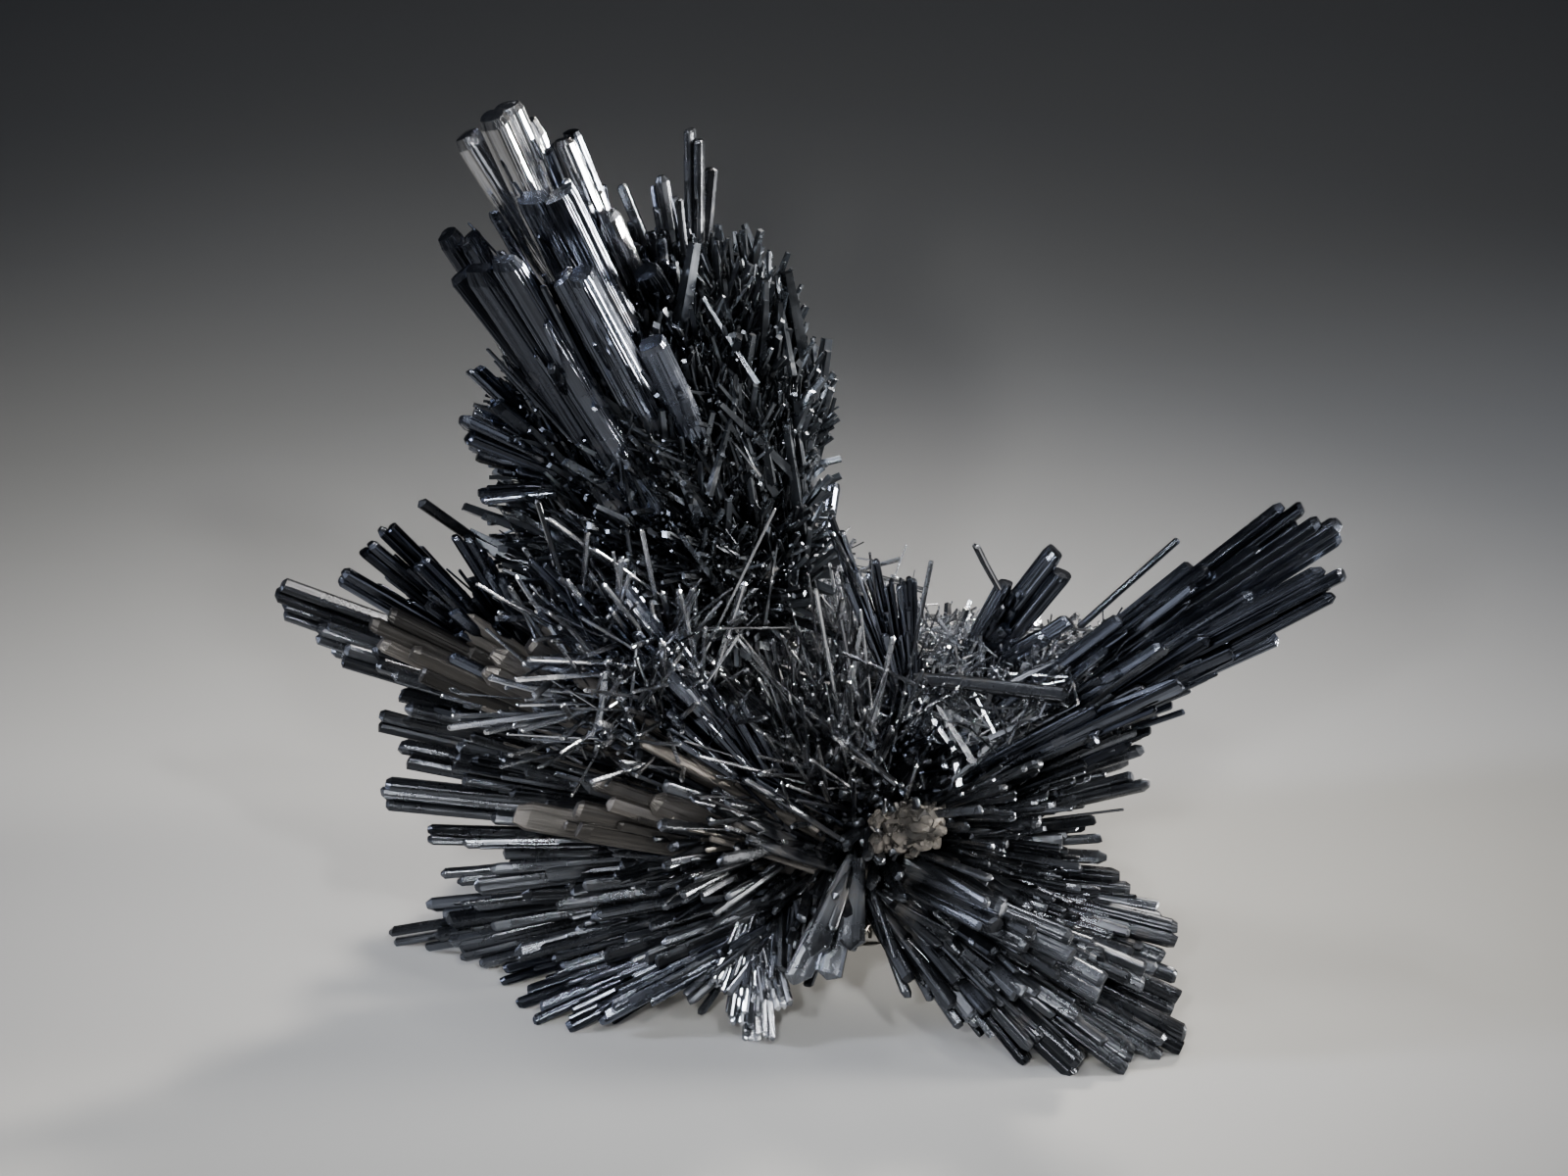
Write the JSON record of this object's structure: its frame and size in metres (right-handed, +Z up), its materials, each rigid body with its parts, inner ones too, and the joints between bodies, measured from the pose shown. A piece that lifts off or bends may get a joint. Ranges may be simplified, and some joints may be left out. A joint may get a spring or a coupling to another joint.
{
  "type": "stibnite crystal spray",
  "caption": "Free-standing cluster of metallic stibnite: a leaning tower of striated prisms and fans of blades round a needle-filled bowl.",
  "frame": {"origin": "middle of the bottom of the bounding box, on the surface that the spray stands on", "axes": "+X right and along the wing, +Y to the back, +Z up"},
  "size_m": [0.0844, 0.0384, 0.073],
  "materials": {
    "prism": "gloss",
    "blade": "satin",
    "coated": "matte",
    "needles": "satin",
    "matrix": "matte"
  },
  "bodies": {
    "root": {"root_mass": "matrix", "tower_needles": "needles", "bowl_needles": "needles", "ridge_needles": "needles", "tower_prism_tall": "prism", "tower_prism_bright": "prism", "tower_prism_front": "prism", "tower_prism_stub": "prism", "tower_blade_broad": "prism", "tower_prism_centre": "prism", "tower_prism_small": "prism", "tower_prism_inner": "prism", "tower_spikes_back": "blade", "tower_stubs_left": "prism", "tower_prisms_back": "prism", "shoulder_prisms_left": "prism", "lone_needle": "blade", "left_fan_coated": "coated", "left_fan_upper": "blade", "left_fan_middle": "blade", "left_fan_plates": "coated", "left_fan_lower": "blade", "left_foot_bundle": "prism", "bowl_rim_blades": "prism", "right_wing": "prism", "right_wing_lower": "blade", "right_stub_prisms": "prism", "right_shoulder_blades": "prism", "right_cross_blade": "blade", "foot_fan_upper": "blade", "foot_fan_front": "blade", "foot_fan_lower": "blade", "foot_fan_inner": "blade", "hanging_blades": "coated", "tuft_needles": "needles", "matrix_grains": "matrix", "rear_fan_left": "blade", "rear_fan_right": "blade", "rear_blades_up": "prism", "rear_feet": "blade"}
  },
  "joints": []
}
